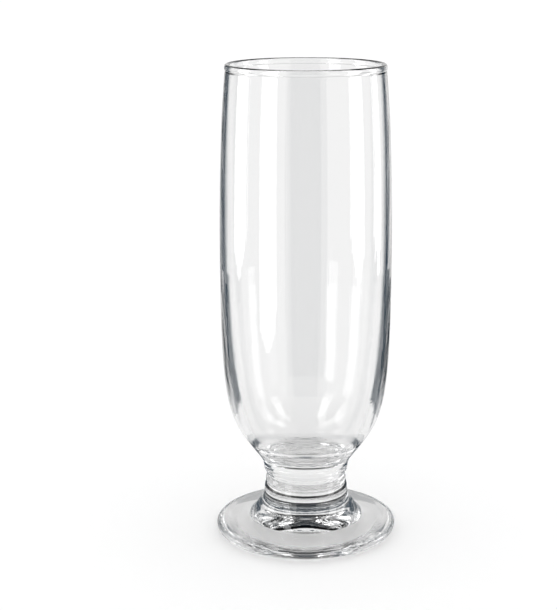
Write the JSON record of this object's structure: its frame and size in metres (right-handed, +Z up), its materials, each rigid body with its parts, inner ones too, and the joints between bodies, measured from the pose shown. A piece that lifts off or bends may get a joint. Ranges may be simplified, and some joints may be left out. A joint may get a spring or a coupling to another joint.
{
  "type": "footed beer glass",
  "caption": "Tall clear beer glass: a slender bowl with a thick base and a rounded rim, on a short waisted stem that flares onto a round stepped foot with a thick rounded rim.",
  "frame": {"origin": "centre of the foot, on the surface that the glass stands on", "axes": "+Z up along the glass's axis of turning, +X and +Y along the surface that it stands on"},
  "size_m": [0.07, 0.07, 0.182],
  "materials": {
    "clear_glass": "fire-polished clear soda-lime glass, faintly green-grey through its thickness"
  },
  "bodies": {
    "root": {"bowl": "clear_glass", "stem": "clear_glass", "foot": "clear_glass"}
  },
  "joints": []
}
